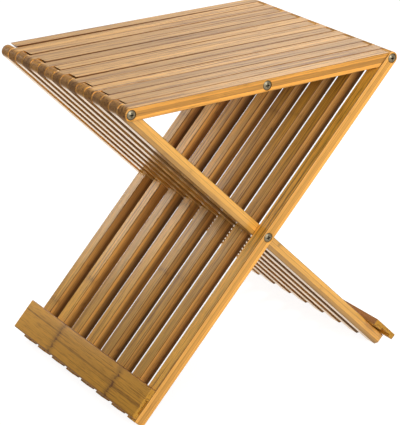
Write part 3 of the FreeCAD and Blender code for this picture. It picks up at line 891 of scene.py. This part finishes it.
for side_name, (hinge, mirrored, seed) in BOARDS.items():
    plank = foot_plank(*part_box(f"{side_name}_foot_board"), hinge, mirrored)
    finish = varnished_bamboo(
        f"{side_name} foot board bamboo",
        lambda tree: board_place(tree, hinge, mirrored),
        BOARD_GLOSS,
        Seed=seed,
        **BOARD,
    )
    new_piece(
        f"{side_name}_foot_plank",
        plank.reshape(-1, 3),
        grid_faces(*plank.shape[:2]),
        finish,
        f"{side_name}_leg",
        f"{side_name}_foot_board",
    )

# %% [markdown]
# ## Steel
#
# The rods are drawn steel and the screws are plated, gone a little dull in a damp room. Both are the same
# metal with fine cloudy marks and finer scratches, so the marks are one group and each material sets how
# dark and how rough it is. A map of scratches would repeat on small round pieces; noise doesn't. Tarnish
# adds the places where nothing ever rubs the metal bright.

# %% Steel group
CLOUDS_PER_METRE = 700.0
SCRATCHES_PER_METRE = 2600.0

steel_marks, steel_in, steel_out = new_group(
    "steel marks",
    [
        ("Place", "NodeSocketVector", None),
        ("Clean", "NodeSocketColor", (0.5, 0.5, 0.5, 1)),
        ("Dull", "NodeSocketColor", (0.1, 0.1, 0.1, 1)),
        ("Tarnish", "NodeSocketFloat", 0.0),
        ("Roughness", "NodeSocketFloat", 0.3),
    ],
    [("Colour", "NodeSocketColor"), ("Roughness", "NodeSocketFloat"), ("Height", "NodeSocketFloat")],
)
marked = steel_in.outputs
clouds, scratches = (
    node(steel_marks, "ShaderNodeTexNoise", Vector=marked["Place"], Scale=scale, Detail=detail).outputs[0]
    for scale, detail in ((CLOUDS_PER_METRE, 4.0), (SCRATCHES_PER_METRE, 2.0))
)
cloud_dark = sum_of(steel_marks, "MULTIPLY", step(steel_marks, clouds, 0.4, 0.75), 0.45)
# On the screw heads the tarnish amount also holds a painted shade at the rim and side of the head.
dullness = sum_of(steel_marks, "ADD", cloud_dark, marked["Tarnish"], clamp=True)
steel_colour = mixed(steel_marks, dullness, marked["Clean"], marked["Dull"])
steel_rough = sum_of(steel_marks, "MULTIPLY_ADD", clouds, 0.25, marked["Roughness"])
feed(steel_marks, steel_colour, steel_out.inputs["Colour"])
feed(steel_marks, steel_rough, steel_out.inputs["Roughness"])
feed(steel_marks, scratches, steel_out.inputs["Height"])
print("steel group:", len(steel_marks.nodes), "nodes")

# %% Steel finishes
SCRATCH_RELIEF = 0.00005


def dull_steel(name, clean, dull, roughness, tarnish_and_shade):
    """Steel for one kind of piece. tarnish is 0 clean to 1 dull, or the name of the attribute with it."""
    material, tree, shader = new_finish(name)
    if isinstance(tarnish_and_shade, str):
        tarnish_and_shade = node(tree, "ShaderNodeAttribute", {"attribute_name": tarnish_and_shade}).outputs["Fac"]
    marks = node(
        tree,
        "ShaderNodeGroup",
        {"node_tree": steel_marks},
        Place=node(tree, "ShaderNodeTexCoord").outputs["Object"],
        Clean=clean,
        Dull=dull,
        Tarnish=tarnish_and_shade,
        Roughness=roughness,
    )
    relief = node(
        tree,
        "ShaderNodeBump",
        Height=marks.outputs["Height"],
        Strength=0.2,
        Distance=SCRATCH_RELIEF,
    )
    feed(tree, marks.outputs["Colour"], shader.inputs["Base Color"])
    feed(tree, marks.outputs["Roughness"], shader.inputs["Roughness"])
    feed(tree, relief.outputs["Normal"], shader.inputs["Normal"])
    shader.inputs["Metallic"].default_value = 1.0
    return material


rod_steel = dull_steel("rod steel", srgb(176, 174, 168), srgb(96, 92, 86), 0.25, 0.1)
wood_screw_steel = dull_steel("wood screw steel", srgb(190, 182, 150), srgb(110, 98, 70), 0.3, 0.2)
# The screw heads' dull colour is nearly black: tarnish in the cross and a painted shade at the rim.
head_steel = dull_steel("screw head steel", srgb(124, 118, 100), srgb(28, 24, 18), 0.32, "tarnish_and_shade")
STEEL_NODES = {
    "left_seat_rod": rod_steel,
    "right_seat_rod": rod_steel,
    "crossing_rod": rod_steel,
    "middle_seat_rod": rod_steel,
    "left_foot_board_screws": wood_screw_steel,
    "right_foot_board_screws": wood_screw_steel,
}
for start, finish in STEEL_NODES.items():
    print(finish_nodes(start, finish), "nodes:", start, "in", finish.name)

# %% [markdown]
# ## End screws
#
# Each rod is held by a pan head screw at both ends: a low dome with a cross pressed into it. Cutting a cross
# out of a dome leaves hard, toy-like walls. A pressed cross has leaning walls and a soft lip, so the head is
# a height worked out at each point of a disc: the dome's height less the cross's depth. The disc is a square
# grid pulled round, which has no crowded middle. How deep a point lies in the cross, and how near the rim it
# is, go along as an attribute: the steel is dull in the cross, where a driver never rubs it, and the head's
# outer rim and side are painted dark, a painted shade standing for the shadow in the gap around the head.

# %% End screw shape
HEAD_HEIGHT = 0.0031
HEAD_SIDE = 0.0012
HEAD_GRID = 57
EDGE_BREAK = 0.0002
SHANK_RADIUS = 0.0029
SHANK_LENGTH = 0.014
SHANK_TAPER = 0.0008
CROSS_REACH = 0.0032
CROSS_HALF = 0.00075
CROSS_DEPTH = 0.0017
RIM_SHADE_START = 0.86


def round_disc(count):
    """A square grid from -1 to 1 pulled round: the larger side is the radius, their ratio the angle."""
    a, b = np.meshgrid(np.linspace(-1, 1, count), np.linspace(-1, 1, count), indexing="ij")
    wide = np.abs(a) >= np.abs(b)
    radius = np.where(wide, a, b)
    safe = np.where(radius == 0, 1, radius)
    angle = np.where(wide, math.pi / 4 * b / safe, math.pi / 2 - math.pi / 4 * a / safe)
    return radius * np.cos(angle), radius * np.sin(angle)


def cross_depth(x, y):
    """How deep the pressed cross is, 0 to 1: each arm's walls lean in, and the deeper arm counts."""

    def arm(reach, width):
        sides = (CROSS_HALF - np.abs(width)) / (CROSS_HALF * 0.45)
        tips = (CROSS_REACH - np.abs(reach)) / (CROSS_REACH * 0.4)
        return np.clip(np.minimum(sides, tips), 0, 1)

    deepest = np.maximum(arm(x, y), arm(y, x))
    return deepest * deepest * (3 - 2 * deepest)


def screw_head(radius):
    """The head's disc: x, y, height and tarnish of a grid of points.

    The height is a ball's cap with its foot at the head's side, less the cross's depth. The tarnish_and_shade
    is the cross, which is tarnish, or the square of how far out a point lies in the rim, which is painted
    shade, whichever is more.
    """
    rise = HEAD_HEIGHT - HEAD_SIDE
    ball = (radius**2 + rise**2) / (2 * rise)
    x, y = round_disc(HEAD_GRID)
    x, y = x * radius, y * radius
    sunk = cross_depth(x, y)
    height = HEAD_HEIGHT - ball + np.sqrt(ball**2 - x**2 - y**2) - CROSS_DEPTH * sunk
    # Painted shade: the outer rim of the head darkens towards its edge, standing for the shadow in the gap
    # around the head.
    in_rim = (np.hypot(x, y) / radius - RIM_SHADE_START) / (1 - RIM_SHADE_START)
    return x, y, height, np.maximum(sunk, np.clip(in_rim, 0, 1) ** 2)


def end_screw(name, stands_for, outward, body):
    """A pan head screw: the head's disc, then rings down its side, under it and along the shank."""
    low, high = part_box(stands_for)
    radius = (high.x - low.x) / 2
    x, y, height, tarnish_and_shade = screw_head(radius)
    index = np.arange(x.size).reshape(x.shape)
    rim = np.concatenate((index[0, :-1], index[:-1, -1], index[-1, :0:-1], index[:0:-1, 0]))
    # The third column is fully dark on the head's side, a painted shade of the gap around the head, and 0.6
    # on the hidden shank.
    rings = np.array(  # radius, height, tarnish
        [
            (radius, HEAD_SIDE * 0.6, 1.0),
            (radius, EDGE_BREAK, 1.0),
            (radius - EDGE_BREAK, 0, 1.0),
            (SHANK_RADIUS, 0, 0.6),
            (SHANK_RADIUS, SHANK_TAPER - SHANK_LENGTH, 0.6),
            (SHANK_RADIUS - SHANK_TAPER, -SHANK_LENGTH, 0.6),
        ]
    )
    ring_x = rings[:, :1] * x.ravel()[rim] / radius
    ring_y = rings[:, :1] * y.ravel()[rim] / radius
    x = np.concatenate((x.ravel(), ring_x.ravel()))
    y = np.concatenate((y.ravel(), ring_y.ravel()))
    height = np.concatenate((height.ravel(), np.repeat(rings[:, 1], len(rim))))
    tarnish_and_shade = np.concatenate((tarnish_and_shade.ravel(), np.repeat(rings[:, 2], len(rim))))

    under_head = (low.y if outward < 0 else high.y) - outward * HEAD_HEIGHT
    points = np.stack(
        ((low.x + high.x) / 2 + x, under_head + outward * height, (low.z + high.z) / 2 + y), axis=1
    )
    ring_index = index.size + np.arange(len(rings) * len(rim)).reshape(-1, len(rim))
    belts = np.concatenate((rim[None], ring_index))
    following = np.roll(belts, -1, axis=1)
    skirt = np.stack((belts[:-1], following[:-1], following[1:], belts[1:]), axis=2).reshape(-1, 4)
    faces = np.concatenate((grid_faces(*index.shape, wrapped=False), skirt))
    piece = new_piece(name, points, faces, head_steel, body, stands_for)
    spots = piece.data.attributes.new("tarnish_and_shade", "FLOAT", "POINT")
    spots.data.foreach_set("value", tarnish_and_shade.astype(np.float32))


# %% End screws
SCREW_BODIES = {  # the body of the rod's front end, the body of its back end
    "left_seat_rod": ("right_leg", "right_leg"),
    "right_seat_rod": ("left_leg", "left_leg"),
    "crossing_rod": ("left_leg", "left_leg"),
    "middle_seat_rod": ("left_seat", "right_seat"),
}
for rod, bodies in SCREW_BODIES.items():
    for end, outward, body in zip(("front", "back"), (-1, 1), bodies):
        end_screw(f"{rod}_{end}_pan_screw", f"{rod}_{end}_screw", outward, body)
